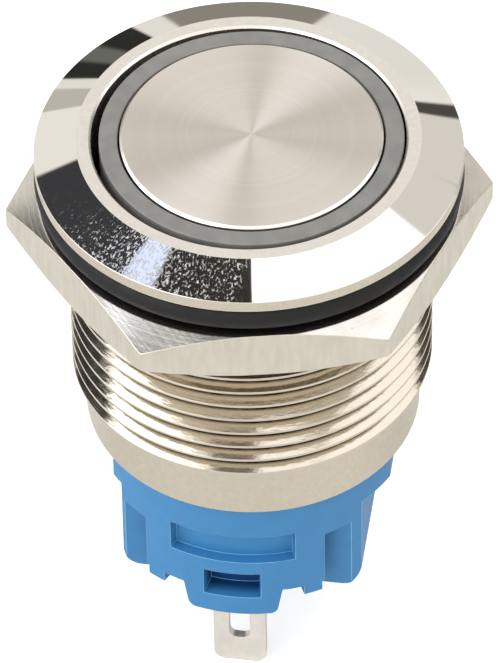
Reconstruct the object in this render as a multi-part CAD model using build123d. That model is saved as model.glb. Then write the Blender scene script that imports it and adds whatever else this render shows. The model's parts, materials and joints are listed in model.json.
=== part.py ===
from build123d import *
import os
from math import asin, cos, degrees, radians, sin, tan

# Metal push button with a light ring. Millimetres. +Z is the button's axis, out of its front.
# The origin is the centre of the bezel's underside, where it seats on a panel.
# The blue housing's front side faces -Y.

# Bezel, turned in one piece with the barrel
bezel_overhang = 1.55
rim_height = 0.69
bezel_height = 1.65
bezel_chamfer = 2.17
bore_shoulder = 0.24
bore_mouth_chamfer = 0.12

# Barrel: the thread's outside, the plain land below it and the bore
thread_r = 9.45
thread_length = 13.85
land_step = 0.65
land_length = 3.3
barrel_wall = 1.15

# O-ring under the bezel
o_ring_bulge = 0.03
o_ring_gap = 0.02

# Hexagon nut, chamfered on both faces
nut_wall = 1.45
nut_height = 2.8
nut_gap = 0.27
nut_thread_gap = 0.06
nut_chamfer_angle = 30.0
nut_bore_chamfer = 0.4
nut_turn = 12.0

# Cap: brushed disc in its light ring, resting a little to one side of the bore
disc_thickness = 1.3
disc_proud = 0.10
disc_edge = 0.22
disc_stud_r = 1.5
disc_stud_length = 3.2
disc_gap = 0.10
ring_gap = 0.26
ring_width = 1.06
ring_below_flat = 0.03
ring_floor = 0.8
ring_edge = 0.08
cap_offset = 0.15
cap_offset_angle = 8.85

# Plunger and what rides on it
travel = 2.5
head_edge = 0.54
head_thickness = 1.25
cap_play = 0.2
stem_r = 2.2
stem_bore_r = 1.3
stem_bore_depth = 4.5
stem_below_clip = 0.4
stem_clearance = 0.275
clip_r = 2.7
clip_thickness = 0.4
clip_groove_depth = 0.35
clip_play = 0.02
clip_mouth = 2.4
seal_wire_r = 0.41
seal_above_skirt = 1.45
seal_gap = 0.04
seal_groove_width = 1.0
seal_groove_depth = 0.8

# Circuit board with its lamps and resistor
board_above_end = 9.75
board_thickness = 0.8
board_width = 3.7
board_gap = 0.10
led_size = (1.6, 0.9, 0.6)
led_inset = 0.7
led_count = 4
led_clearance = 0.3
resistor_size = (1.6, 0.8, 0.5)
resistor_inset = 2.2

# Guide block under the board
block_plate = 1.4
block_wall = 1.0
block_depth = 3.8
guide_tube_wall = 1.15
guide_tube_length = 0.8
guide_gap = 0.05

# Springs
return_wire_r = 0.25
return_turns = 5.0
actuator_spring_r = 0.95
actuator_wire_r = 0.12
actuator_turns = 8.0
spring_seat_gap = 0.01

# Changeover contacts
contact_inset = 2.7
contact_travel = 0.8
contact_head_r = 0.8
contact_head_height = 0.35
rivet_r = 0.4
contact_gap = 0.02
contact_tilt_room = 0.10
blade_thickness = 0.25
blade_width = 2.4
blade_overhang = 0.9
tappet_r = 1.25
tappet_height = 0.2
pivot_width = 0.4
pivot_gap = 0.03

# Terminals: strips that end in solder lugs, which reach lug_length below the barrel
lug_width = 2.8
lug_thickness = 0.5
lug_length = 14.49
lug_corner = 0.65
lug_hole_width = 1.12
lug_hole_length = 2.4
lug_hole_corner = 0.4
lug_hole_from_end = 1.82
lamp_lug_inset = 2.0
switch_lug_y = 0.6
closed_lug_inset = 2.6
terminal_plate_thickness = 0.4
terminal_pad_y = 1.2
slot_gap = 0.05
clip_clearance = 0.2

# Blue housing; its lengths and depths run down from the barrel's end
collar_step = 0.3
collar_length = 1.85
collar_flat_left = 1.8
collar_flat_right = 0.75
body_flat_left = 2.3
body_flat_right = 2.0
body_ledge = 1.1
side_wall_length = 7.82
side_wall_inset = 2.5
side_corner = 1.0
side_wall = 2.2
panel_angle = 34.0
panel_length = 6.5
panel_wall = 1.9
foot_length = 7.15
foot_angles = (26.0, 33.0)
tongue_length = 8.22
tongue_top_angle = 18.0
tongue_end_angle = 16.0
tongue_corner = 0.45
wide_window = (2.25, 4.22)
wide_window_angle = 22.9
wide_window_depth = 0.6
small_window = (5.13, 6.93)
small_window_angle = 10.3
small_window_depth = 1.2
spigot_gap = 0.1
spigot_wall = 1.2
floor_gap = 0.05
floor_depth = 2.05
cavity_ledge_depth = 4.55
cavity_ledge = 0.5
cavity_wall = 0.9
cavity_inset = 3.5
plate_thickness = 1.5
plate_gap = 0.05

# Wire ring that locks the blue housing in the barrel
lock_above_end = 2.65
lock_wire_r = 0.22
lock_groove = 0.28
lock_gap_angle = 40.0
lock_gap = 0.02

# Radii and widths that follow the thread and the bore
head_r = thread_r + bezel_overhang
flat_r = head_r - bezel_chamfer
land_r = thread_r - land_step
bore_r = thread_r - barrel_wall
top_bore_r = bore_r - bore_shoulder
spigot_r = bore_r - spigot_gap
o_ring_wire_r = (bezel_overhang - o_ring_gap + o_ring_bulge) / 2
nut_across_flats = 2 * (thread_r + nut_wall)
ring_r = top_bore_r - ring_gap
disc_r = ring_r - ring_width
head_radius = disc_r - head_edge
seal_groove_r = ring_r - seal_groove_depth
led_circle_r = ring_r - led_inset
resistor_circle_r = ring_r - resistor_inset
board_hole_r = bore_r - board_width
return_spring_r = (stem_r + board_hole_r) / 2
lock_circle_r = (bore_r + spigot_r) / 2
collar_r = land_r - collar_step
collar_left = collar_r - collar_flat_left
collar_right = collar_r - collar_flat_right
body_left = collar_r - body_flat_left
body_right = collar_r - body_flat_right
side_wall_y = collar_r - side_wall_inset
side_wall_inner = body_left - side_wall
panel_inner_r = collar_r - panel_wall
cavity_y = collar_r - cavity_inset
contact_x = body_left - contact_inset
lamp_lug_y = spigot_r - lamp_lug_inset
closed_lug_y = lamp_lug_y - closed_lug_inset

# Heights, down from the bezel and up from the barrel's end
shell_end = -(thread_length + land_length)
nut_top = -(2 * o_ring_wire_r + o_ring_gap + nut_gap)
disc_top = bezel_height + disc_proud
disc_bottom = disc_top - disc_thickness
ring_top = bezel_height - ring_below_flat
head_top = disc_bottom - ring_floor
head_bottom = head_top - head_thickness
board_top = shell_end + board_above_end
ring_bottom = board_top + led_size[2] + led_clearance + travel
seal_z = ring_bottom + seal_above_skirt
block_top = board_top - board_thickness
block_bottom = block_top - block_depth
guide_bottom = block_top - block_plate - guide_tube_length
stem_bottom = guide_bottom - clip_thickness - stem_below_clip
collar_bottom = shell_end - collar_length
ceiling_z = collar_bottom - body_ledge
side_wall_end = shell_end - side_wall_length
panel_end = shell_end - panel_length
foot_end = shell_end - foot_length
tongue_end = shell_end - tongue_length
lug_end = shell_end - lug_length
cavity_top = shell_end - floor_depth
cavity_ledge_z = shell_end - cavity_ledge_depth
lock_z = shell_end + lock_above_end
stem_bore_top = stem_bottom + stem_bore_depth
tappet_top = stem_bottom - travel - stem_clearance
blade_top = tappet_top - tappet_height
blade_bottom = blade_top - blade_thickness
closed_pad_bottom = blade_top + 2 * contact_head_height + contact_gap
open_contact_top = blade_bottom - contact_head_height - contact_travel - contact_tilt_room - contact_gap
open_pad_top = open_contact_top - contact_head_height
open_pad_bottom = open_pad_top - terminal_plate_thickness
floor_z = open_pad_bottom - floor_gap
blade_angle = degrees(asin(contact_travel / (2 * contact_x)))


def turned(*points):
    """A turned piece: a closed outline of (radius, height) points, carried once round the axis."""
    outline = Polyline(*[(r, 0, z) for r, z in points], close=True)
    return revolve(make_face(outline), Axis.Z)


def block(x, y, z):
    """A box from its (low, high) pairs along the three axes."""
    size = [high - low for low, high in (x, y, z)]
    middle = [(high + low) / 2 for low, high in (x, y, z)]
    return Pos(*middle) * Box(*size)


def disc(radius, low, high, x=0.0):
    """An upright cylinder between two heights."""
    return Pos(x, 0, (low + high) / 2) * Cylinder(radius, high - low)


def past(low, high):
    """Heights for a cut that runs a little past both faces."""
    margin = 1.0
    return low - margin, high + margin


def tube(outer, inner, low, high):
    """A plain ring between two radii and two heights."""
    return disc(outer, low, high) - disc(inner, *past(low, high))


def wire_ring(circle_r, wire_r, height):
    """A round-section ring about the axis."""
    return Pos(0, 0, height) * Torus(circle_r, wire_r)


def front_and_back(shape):
    """The shape at the front, and again turned half round at the back."""
    return shape + Rot(0, 0, 180) * shape


def wedge(start, end, reach):
    """A flat wedge from the axis between two angles, measured from the front towards +X."""
    corners = [(reach * sin(radians(a)), -reach * cos(radians(a))) for a in (start, (start + end) / 2, end)]
    return make_face(Polyline((0, 0), *corners, close=True))


def front_sector(outer, inner, start, end, low, high):
    """A piece of a ring between two angles from the front."""
    reach = 2 * outer
    prism = Pos(0, 0, low) * extrude(wedge(start, end, reach), high - low)
    return tube(outer, inner, low, high) & prism


def centred_sector(outer, inner, half_angle, low, high):
    """A piece of a ring as far to the left of the front as to the right."""
    return front_sector(outer, inner, -half_angle, half_angle, low, high)


def coil(circle_r, wire_r, turns, low, high):
    """A coil spring with its wire's ends at the two seats."""
    start = low + wire_r
    height = high - low - 2 * wire_r
    path = Pos(0, 0, start) * Helix(height / turns, height, circle_r)
    section = Plane(origin=path @ 0, z_dir=path % 0) * Circle(wire_r)
    return sweep(section, path)


def open_ring(circle_r, wire_r, height, gap_angle):
    """A split ring of round wire, its gap at the back."""
    start = 90 + gap_angle / 2
    section = Plane.XZ * Pos(circle_r, 0) * Circle(wire_r)
    ring = revolve(section, Axis.Z, 360 - gap_angle)
    return Pos(0, 0, height) * Rot(0, 0, start) * ring


def body_shell():
    """Bezel, barrel and land, turned from one bar, with the lock ring's groove in the bore."""
    shape = turned(
        (top_bore_r, bezel_height - bore_mouth_chamfer), (top_bore_r + bore_mouth_chamfer, bezel_height),
        (flat_r, bezel_height), (head_r, rim_height), (head_r, 0),
        (thread_r, 0), (thread_r, -thread_length), (land_r, -thread_length), (land_r, shell_end),
        (bore_r, shell_end), (bore_r, board_top), (top_bore_r, board_top))
    lock_r = lock_circle_r + lock_wire_r + lock_gap
    return shape - tube(lock_r, spigot_r, lock_z - lock_groove, lock_z + lock_groove)


def panel_o_ring():
    """Rubber ring round the barrel, against the bezel's underside."""
    circle_r = thread_r + o_ring_gap + o_ring_wire_r
    return wire_ring(circle_r, o_ring_wire_r, -o_ring_gap - o_ring_wire_r)


def hex_nut():
    """Hexagon with both faces chamfered to a circle as wide as its flats."""
    flat = nut_across_flats / 2
    corner = flat / cos(radians(30))
    drop = (corner - flat) * tan(radians(nut_chamfer_angle))
    bottom = nut_top - nut_height
    bore = thread_r + nut_thread_gap
    mouth = bore + nut_bore_chamfer
    wide = 2 * corner
    hexagon = Pos(0, 0, bottom) * Rot(0, 0, nut_turn) * extrude(RegularPolygon(corner, 6), nut_height)
    turning = turned(
        (bore, bottom + nut_bore_chamfer), (mouth, bottom), (flat, bottom), (corner, bottom + drop),
        (wide, bottom + drop), (wide, nut_top - drop), (corner, nut_top - drop),
        (flat, nut_top), (mouth, nut_top), (bore, nut_top - nut_bore_chamfer))
    return hexagon & turning


def button_disc():
    """Stainless disc with a turned edge, and the stud under it."""
    plate = turned(
        (0, disc_bottom), (disc_r, disc_bottom), (disc_r, disc_top - disc_edge),
        (disc_r - disc_edge, disc_top), (0, disc_top))
    stud = disc(disc_stud_r, disc_bottom - disc_stud_length, disc_bottom)
    return in_cap(plate + stud)


def light_ring():
    """Milky cup: ring round the disc, floor under it, and a skirt with a groove for the seal."""
    pocket_r = disc_r + disc_gap
    inner_r = head_radius + cap_play
    groove_low = seal_z - seal_groove_width / 2
    groove_high = seal_z + seal_groove_width / 2
    return in_cap(turned(
        (disc_stud_r, head_top), (inner_r, head_top), (inner_r, ring_bottom), (ring_r, ring_bottom),
        (ring_r, groove_low), (seal_groove_r, groove_low), (seal_groove_r, groove_high),
        (ring_r, groove_high), (ring_r, ring_top - ring_edge), (ring_r - ring_edge, ring_top),
        (pocket_r + ring_edge, ring_top), (pocket_r, ring_top - ring_edge), (pocket_r, disc_bottom),
        (disc_stud_r, disc_bottom)))


def in_cap(shape):
    """Moved off the axis by the cap's play on its stem."""
    angle = radians(cap_offset_angle)
    return Pos(cap_offset * cos(angle), cap_offset * sin(angle), 0) * shape


def plunger():
    """Head under the light ring, stem with the clip's groove, and the bores for stud and spring."""
    socket_bottom = disc_bottom - disc_stud_length - cap_play
    socket_r = disc_stud_r + cap_play
    groove_r = stem_r - clip_groove_depth
    clip_low = guide_bottom - clip_thickness - clip_play
    return turned(
        (socket_r, head_top), (head_radius, head_top), (head_radius, head_bottom), (stem_r, head_bottom),
        (stem_r, guide_bottom), (groove_r, guide_bottom), (groove_r, clip_low), (stem_r, clip_low),
        (stem_r, stem_bottom), (stem_bore_r, stem_bottom), (stem_bore_r, stem_bore_top),
        (0, stem_bore_top), (0, socket_bottom), (socket_r, socket_bottom))


def plunger_seal():
    """Rubber ring in the skirt's groove, a sliding fit in the bore."""
    return wire_ring(top_bore_r - seal_gap - seal_wire_r, seal_wire_r, seal_z)


def plunger_clip():
    """Flat clip in the stem's groove, under the guide, open towards the back."""
    inner = stem_r - clip_groove_depth + clip_play
    low = guide_bottom - clip_thickness
    ring = tube(clip_r, inner, low, guide_bottom)
    mouth = block((-clip_mouth / 2, clip_mouth / 2), (0, 2 * clip_r), past(low, guide_bottom))
    return ring - mouth


def return_spring():
    """Coil round the stem, between the plunger's head and the guide block."""
    low = block_top + spring_seat_gap
    high = head_bottom - spring_seat_gap
    return coil(return_spring_r, return_wire_r, return_turns, low, high)


def actuator_spring():
    """Thin coil in the stem's bore, pushing on the blade's pad."""
    low = tappet_top + spring_seat_gap
    high = stem_bore_top - spring_seat_gap
    return coil(actuator_spring_r, actuator_wire_r, actuator_turns, low, high)


def lamp_lug_cuts(low, high):
    """Room for the two lamp terminals where they pass through a moulding."""
    half = lug_width / 2 + slot_gap
    near = lamp_lug_y - lug_thickness - slot_gap
    return front_and_back(block((-half, half), (-lamp_lug_y - slot_gap, -near), (low, high)))


def guide_block():
    """Plate with the stem's guide tube, and a wall that stands on the blue housing."""
    bore = stem_r + guide_gap
    tube_r = bore + guide_tube_wall
    plate_bottom = block_top - block_plate
    inner = spigot_r - block_wall
    shape = turned(
        (bore, block_top), (spigot_r, block_top), (spigot_r, block_bottom), (inner, block_bottom),
        (inner, plate_bottom), (tube_r, plate_bottom), (tube_r, guide_bottom), (bore, guide_bottom))
    return shape - lamp_lug_cuts(*past(block_bottom, block_top))


def lamp_board():
    """Ring-shaped circuit board against the barrel's inner shoulder."""
    return tube(bore_r - board_gap, board_hole_r, block_top, board_top)


def leds():
    """Small lamps under the light ring's skirt, evenly spaced."""
    length, width, height = led_size
    one = Pos(0, led_circle_r, board_top + height / 2) * Box(length, width, height)
    step = 360 / led_count
    return [Rot(0, 0, step * (i + 0.5)) * one for i in range(led_count)]


def lamp_resistor():
    """Chip resistor on the board, inside the circle of lamps."""
    length, width, height = resistor_size
    return Pos(0, resistor_circle_r, board_top + height / 2) * Box(length, width, height)


def strip(x, y, top):
    """A terminal strip with a rounded, pierced lug end and its broad faces to the front and back."""
    middle = lug_end + lug_width / 2
    hole_middle = lug_end + lug_hole_from_end + lug_hole_length / 2
    rounded = Pos(x, middle) * RectangleRounded(lug_width, lug_width, lug_corner)
    straight = Pos(x, (middle + top) / 2) * Rectangle(lug_width, top - middle)
    hole = Pos(x, hole_middle) * RectangleRounded(lug_hole_width, lug_hole_length, lug_hole_corner)
    outline = rounded + straight - hole
    return Pos(0, y + lug_thickness / 2, 0) * extrude(Plane.XZ * outline, lug_thickness)


def terminal_lamp_positive():
    """Front lamp terminal, up to the board."""
    return strip(0, -lamp_lug_y + lug_thickness / 2, block_top)


def terminal_lamp_negative():
    """Rear lamp terminal, up to the board."""
    return Rot(0, 0, 180) * terminal_lamp_positive()


def pad(x, low, high):
    """The flat pad at the top of a switching terminal, bent forward from its strip."""
    half = lug_width / 2
    return block((x - half, x + half), (-terminal_pad_y, switch_lug_y + lug_thickness / 2), (low, high))


def terminal_common():
    """Common terminal: its pad carries the ridge that the blade pivots on."""
    pad_top = blade_bottom - contact_head_height - pivot_gap
    pad_low = pad_top - terminal_plate_thickness
    half = pivot_width / 2
    ridge = block((-contact_x - half, -contact_x + half), (-terminal_pad_y, terminal_pad_y / 2),
                  (pad_top, blade_bottom - pivot_gap))
    return strip(-contact_x, switch_lug_y, pad_low) + pad(-contact_x, pad_low, pad_top) + ridge


def terminal_normally_open():
    """Normally open terminal: its pad holds the lower fixed contact."""
    lug = strip(contact_x, switch_lug_y, open_pad_bottom)
    hole = disc(rivet_r, *past(open_pad_bottom, open_pad_top), contact_x)
    return lug + pad(contact_x, open_pad_bottom, open_pad_top) - hole


def terminal_normally_closed():
    """Normally closed terminal: rises behind the stem and reaches over the blade's end."""
    low = closed_pad_bottom
    high = low + terminal_plate_thickness
    half = lug_width / 2
    back = closed_lug_y + lug_thickness / 2 + half / 2
    arm_x = clip_r + clip_clearance
    arm_end = contact_x + half / 2 + rivet_r
    cross = block((-half, arm_end), (closed_lug_y - lug_thickness / 2, back), (low, high))
    arm = block((arm_x, arm_end), (-terminal_pad_y, back), (low, high))
    hole = disc(rivet_r, *past(low, high), contact_x)
    return strip(0, closed_lug_y, low) + cross + arm - hole


def rivet(x, face_z, facing, thickness):
    """A contact rivet: a head on the side it faces (+1 up, -1 down) and a shank through the metal."""
    head = sorted((face_z, face_z + facing * contact_head_height))
    shank = sorted((face_z, face_z - facing * thickness))
    return disc(contact_head_r, *head, x) + disc(rivet_r, *shank, x)


def fixed_contact_open():
    """Lower fixed contact, facing up."""
    return rivet(contact_x, open_pad_top, 1, terminal_plate_thickness)


def fixed_contact_closed():
    """Upper fixed contact, facing down."""
    return rivet(contact_x, closed_pad_bottom, -1, terminal_plate_thickness)


def moving_blade():
    """Flat blade from its pivot over the common terminal to the contact at its free end."""
    ends = (-contact_x - blade_overhang, contact_x + blade_overhang)
    half = blade_width / 2
    plate = block(ends, (-half, half), (blade_bottom, blade_top))
    return plate - disc(rivet_r, *past(blade_bottom, blade_top), contact_x)


def moving_contact():
    """Double-faced rivet at the blade's free end."""
    upper = disc(contact_head_r, blade_top, blade_top + contact_head_height, contact_x)
    return upper + rivet(contact_x, blade_bottom, -1, blade_thickness)


def blade_tappet():
    """Insulating pad on the blade, under the thin spring."""
    return disc(tappet_r, blade_top, tappet_top)


def body_outline(left, right, low, high):
    """Round outline of the blue housing with a flat on each side."""
    return disc(collar_r, low, high) & block((-left, right), (-collar_r, collar_r), (low, high))


def side_walls():
    """The two side walls below the collar, flat in front and behind, with rounded lower corners."""
    tall = ceiling_z - side_wall_end
    middle_x = (body_right - body_left) / 2
    rounded = Pos(middle_x, ceiling_z) * RectangleRounded(body_left + body_right, 2 * tall, side_corner)
    slab = Pos(0, side_wall_y, 0) * extrude(Plane.XZ * rounded, 2 * side_wall_y)
    walls = slab & body_outline(body_left, body_right, side_wall_end, ceiling_z)
    inner = side_wall_inner
    return walls - block((-inner, inner), (-collar_r, collar_r), past(side_wall_end, ceiling_z))


def tongue():
    """Tongue below the front panel, a little narrower at its rounded end."""
    wide = collar_r * sin(radians(tongue_top_angle))
    narrow = collar_r * sin(radians(tongue_end_angle))
    corners = ((-wide, panel_end), (-narrow, tongue_end), (narrow, tongue_end), (wide, panel_end))
    outline = make_face(Polyline(*corners, close=True))
    ends = outline.vertices().sort_by(Axis.Y)[:2]
    outline = fillet(ends, tongue_corner)
    prism = extrude(Plane.XZ * outline, 2 * collar_r)
    return tube(collar_r, panel_inner_r, tongue_end, panel_end) & prism


def front_panel():
    """Curved panel with its two feet and the tongue."""
    panel = centred_sector(collar_r, cavity_y / 2, panel_angle, panel_end, ceiling_z)
    panel = panel - block((-collar_r, collar_r), (-cavity_y, collar_r), past(panel_end, ceiling_z))
    near, far = foot_angles
    right = front_sector(collar_r, panel_inner_r, near, far, foot_end, panel_end)
    left = front_sector(collar_r, panel_inner_r, -far, -near, foot_end, panel_end)
    return panel + right + left + tongue()


def windows():
    """The wide shallow window in the panel, and the small deep one that runs into the tongue."""
    sizes = (
        (wide_window, wide_window_angle, wide_window_depth),
        (small_window, small_window_angle, small_window_depth))
    cuts = [centred_sector(2 * collar_r, collar_r - depth, angle, shell_end - low, shell_end - high)
            for (high, low), angle, depth in sizes]
    return front_and_back(cuts[0] + cuts[1])


def switch_lug_cuts(low, high):
    """Room for the three switching terminals where they pass through a moulding."""
    half = lug_width / 2 + slot_gap
    thick = lug_thickness / 2 + slot_gap
    places = ((-contact_x, switch_lug_y), (contact_x, switch_lug_y), (0, closed_lug_y))
    cuts = [block((x - half, x + half), (y - thick, y + thick), (low, high)) for x, y in places]
    return cuts[0] + cuts[1] + cuts[2]


def cavity(shrink, low, high):
    """The rear cavity, or what fills it when shrunk by a gap or a ledge."""
    left = -body_left + cavity_wall + shrink
    right = body_right - cavity_wall - shrink
    half = cavity_y - shrink
    return block((left, right), (-half, half), (low, high))


def base_moulding():
    """Blue housing: spigot in the barrel, floor, collar, panels, side walls and rear cavity."""
    spigot = disc(spigot_r, shell_end, block_bottom)
    spigot = spigot - disc(spigot_r - spigot_wall, floor_z, block_top)
    collar = body_outline(collar_left, collar_right, collar_bottom, shell_end)
    ledge = body_outline(body_left, body_right, ceiling_z, collar_bottom)
    middle = body_outline(body_left, body_right, panel_end, ceiling_z)
    middle = middle & block((-body_left, body_right), (-side_wall_y, side_wall_y), (panel_end, ceiling_z))
    shape = spigot + collar + ledge + middle + side_walls() + front_and_back(front_panel())
    shape = shape - windows()
    shape = shape - cavity(cavity_ledge, tongue_end, cavity_top)
    shape = shape - cavity(0, tongue_end, cavity_ledge_z)
    shape = shape - lamp_lug_cuts(*past(tongue_end, floor_z))
    shape = shape - switch_lug_cuts(*past(tongue_end, floor_z))
    lock_r = lock_circle_r - lock_wire_r - lock_gap
    return shape - tube(bore_r, lock_r, lock_z - lock_groove, lock_z + lock_groove)


def terminal_plate():
    """Plate in the rear cavity's mouth, with a slot for each switching terminal."""
    low = cavity_ledge_z - plate_thickness
    plate = cavity(plate_gap, low, cavity_ledge_z)
    return plate - switch_lug_cuts(*past(low, cavity_ledge_z))


def retaining_ring():
    """Split wire ring, half in the barrel's groove and half in the blue housing's."""
    return open_ring(lock_circle_r, lock_wire_r, lock_z, lock_gap_angle)


pieces = (
    body_shell, panel_o_ring, hex_nut, button_disc, light_ring, plunger, plunger_seal, plunger_clip,
    return_spring, actuator_spring, guide_block, lamp_board, leds, lamp_resistor,
    terminal_lamp_positive, terminal_lamp_negative, terminal_common, terminal_normally_open,
    terminal_normally_closed, fixed_contact_open, fixed_contact_closed, moving_blade, moving_contact,
    blade_tappet, base_moulding, terminal_plate, retaining_ring)

os.makedirs("parts", exist_ok=True)
for make in pieces:
    shape = make()
    if isinstance(shape, list):
        shape = Compound(children=shape)
    export_step(shape, f"parts/{make.__name__}.step")
print("blade: angle", round(blade_angle, 3), "pivot height", round(blade_bottom, 3))
print("springs: fixed ends", round(block_top, 3), round(tappet_top, 3))
print("nut: lowest travel", round(nut_top - nut_height + thread_length, 3))
print("land: middle", round(shell_end + land_length / 2, 3), "lug end", round(lug_end, 3))
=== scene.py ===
import json
import math

import bmesh
import bpy
import numpy as np
from mathutils import Matrix, Vector

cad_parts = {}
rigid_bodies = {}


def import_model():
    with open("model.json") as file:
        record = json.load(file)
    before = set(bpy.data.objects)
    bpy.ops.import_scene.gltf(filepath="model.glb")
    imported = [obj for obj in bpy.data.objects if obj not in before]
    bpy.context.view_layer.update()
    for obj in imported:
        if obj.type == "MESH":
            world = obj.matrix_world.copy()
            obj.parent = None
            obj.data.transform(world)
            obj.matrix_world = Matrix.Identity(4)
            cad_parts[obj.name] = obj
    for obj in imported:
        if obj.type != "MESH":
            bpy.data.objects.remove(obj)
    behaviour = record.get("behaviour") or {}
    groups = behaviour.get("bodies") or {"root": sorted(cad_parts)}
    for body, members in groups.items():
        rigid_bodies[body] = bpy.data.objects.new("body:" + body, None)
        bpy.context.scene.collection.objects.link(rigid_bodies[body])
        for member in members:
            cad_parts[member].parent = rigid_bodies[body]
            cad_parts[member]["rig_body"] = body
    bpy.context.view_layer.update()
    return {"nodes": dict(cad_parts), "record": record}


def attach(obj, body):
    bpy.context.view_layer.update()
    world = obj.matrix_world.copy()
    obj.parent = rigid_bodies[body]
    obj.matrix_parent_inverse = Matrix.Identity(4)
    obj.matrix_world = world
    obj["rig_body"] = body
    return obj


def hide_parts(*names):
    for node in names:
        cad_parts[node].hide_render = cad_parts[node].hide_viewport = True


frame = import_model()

MM = 0.001

# Camera: fitted to the photograph. Angles in degrees, lengths in millimetres, the focus and the
# frame's long side in pixels, and the clipping distances in metres.
CAMERA_SIDE = 8.85
CAMERA_HEIGHT = 45.83
CAMERA_ROLL = -1.06
CAMERA_DISTANCE = 370.58
CAMERA_TARGET = (-0.158, -0.025, -12.67)
CAMERA_FOCUS = 7072.89
FRAME_LONG_SIDE = 663
SENSOR = 36.0
CLIP_NEAR = 0.01
CLIP_FAR = 5.0

# Sizes of the turned pieces, in millimetres, as in the solids. Only the disc's bright edge is
# narrower and the nut's chamfer flatter than theirs, as the photograph shows them.
BEZEL_TOP = 1.65
RIM_TOP = 0.69
HEAD_R = 11.0
FLAT_R = 8.83
TOP_BORE_R = 8.06
BORE_MOUTH = 0.12
THREAD_R = 9.45
THREAD_END = -13.85
LAND_R = 8.8
SHELL_END = -17.15
BORE_R = 8.3
BOARD_TOP = -7.4
LOCK_Z = -14.5
LOCK_HALF = 0.28
LOCK_R = 8.49
NECK_DEPTH = 0.5
NECK_Z = -0.2
THREAD_PITCH = 1.0
THREAD_CREST = 0.14
THREAD_ROOT = 0.20
THREAD_FLANK = math.radians(30)
CREST_ROUND = 0.03
ROOT_ROUND = 0.05
THREAD_TOP = -0.3
THREAD_GAP = 0.02
GROOVE_Z = -13.99
GROOVE_ANGLE = -81.15
CAP_SHIFT = 0.15
CAP_SHIFT_ANGLE = 8.85
DISC_R = 6.74
DISC_TOP = 1.75
DISC_LOW = 0.45
DISC_EDGE = 0.13
STUD_R = 1.5
STUD_END = -2.75
RING_R = 7.8
RING_TOP = 1.62
RING_BOTTOM = -4.0
RING_POCKET_R = 6.84
RING_EDGE = 0.08
RING_INNER_R = 6.4
RING_FLOOR = -0.35
SEAL_Z = -2.55
SEAL_HALF = 0.5
SEAL_R = 7.0
NUT_FLAT = 10.9
NUT_TOP = -1.85
NUT_BOTTOM = -4.65
NUT_BORE = 9.51
NUT_MOUTH = 9.91
NUT_MOUTH_DEPTH = 0.4
NUT_TURN = 12.0
NUT_CORNER_ROUND = 0.22
NUT_CHAMFER = math.radians(26)
NUT_BRIM = 0.06
NUT_EASE = 0.05
O_RING_R = 10.25
O_RING_WIRE = 0.78
O_RING_Z = -0.80
POCKET_R = 8.5
POCKET_HALF = 1.62
POCKET_LOW = -24.15
POCKET_HIGH = -22.2
POCKET_FADE = 0.05

# The stage under the lugs, in millimetres
FLOOR_Z = -31.64
FLOOR_GAP = 0.01
FLOOR_R = 330
FLOOR_SIDES = 96
FLOOR_GLOW = 0.42

# How finely the grids are divided
ARC_STEPS = 4
THREAD_ARC_STEPS = 2
SHELL_COLUMNS = 300
NUT_COLUMNS = 360
CAP_COLUMNS = 320
O_RING_COLUMNS = 256
O_RING_ROWS = 48

ARC_LIMIT = 0.45       # an arc's share of its shorter side, at most
MERGE_STEP = 1e-8      # points closer than this are one, in metres
MERGE_SOLID = 1e-7     # the same for the corners of a solid's facets
FLAT_ANGLE = math.radians(1)       # facets that meet flatter than this are one face
SHARP_ANGLE = math.radians(30)     # edges sharper than this are rounded

# Numbers of the shell's finishes, in the order in which it gets them
SATIN, CUT, BRIGHT, PLAIN = range(4)


# Shapes


def evenly(count):
    """That many angles, evenly round one turn."""
    return np.linspace(0, 2 * np.pi, count, endpoint=False)


def carried(radius, height, angle):
    """Points carried round the upright axis: (x, y, z) = (r cos a, r sin a, z)."""
    radius, height, angle = np.broadcast_arrays(radius, height, angle)
    return np.stack([radius * np.cos(angle), radius * np.sin(angle), height], -1)


def eased(corners, steps=ARC_STEPS):
    """Closed outline in (radius, height), each corner given as (r, z, round).

    A corner becomes an arc that touches both its sides: its direction swings evenly from the side
    that comes in to the side that goes out, and its points lie at that direction's right angle, one
    round away from the arc's centre. Gives the points and the outward directions across the outline.
    """
    table = np.array(corners, float)
    spot, rounding = table[:, :2], table[:, 2]
    back = np.roll(spot, 1, axis=0) - spot
    ahead = np.roll(spot, -1, axis=0) - spot
    back_length = np.linalg.norm(back, axis=1)
    ahead_length = np.linalg.norm(ahead, axis=1)
    back = back / back_length[:, None]
    ahead = ahead / ahead_length[:, None]
    half = np.arccos(np.clip((back * ahead).sum(1), -1, 1)) / 2
    longest = ARC_LIMIT * np.minimum(back_length, ahead_length)
    reach = np.minimum(rounding / np.tan(half), longest)
    angle = (np.pi - 2 * half)[:, None, None]
    share = np.linspace(0, 1, steps + 1)[None, :, None]
    incoming = np.sin((1 - share) * angle) * -back[:, None]
    outgoing = np.sin(share * angle) * ahead[:, None]
    along = (incoming + outgoing) / np.sin(angle)
    centre = spot + (back + ahead) * (reach / (2 * np.cos(half) ** 2))[:, None]
    turn = np.sign(back[:, 0] * ahead[:, 1] - back[:, 1] * ahead[:, 0])[:, None, None]
    across = np.stack([along[..., 1], -along[..., 0]], -1)
    size = (reach * np.tan(half))[:, None, None]
    points = centre[:, None] - turn * across * size
    return points.reshape(-1, 2), across.reshape(-1, 2)


def eased_open(spots, rounding, steps):
    """The same arcs as eased(), for the corners of an open line; its two ends are left out."""
    points, across = eased(np.column_stack([spots, rounding]), steps)
    end = steps + 1
    return points[end:-end], across[end:-end]


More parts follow.
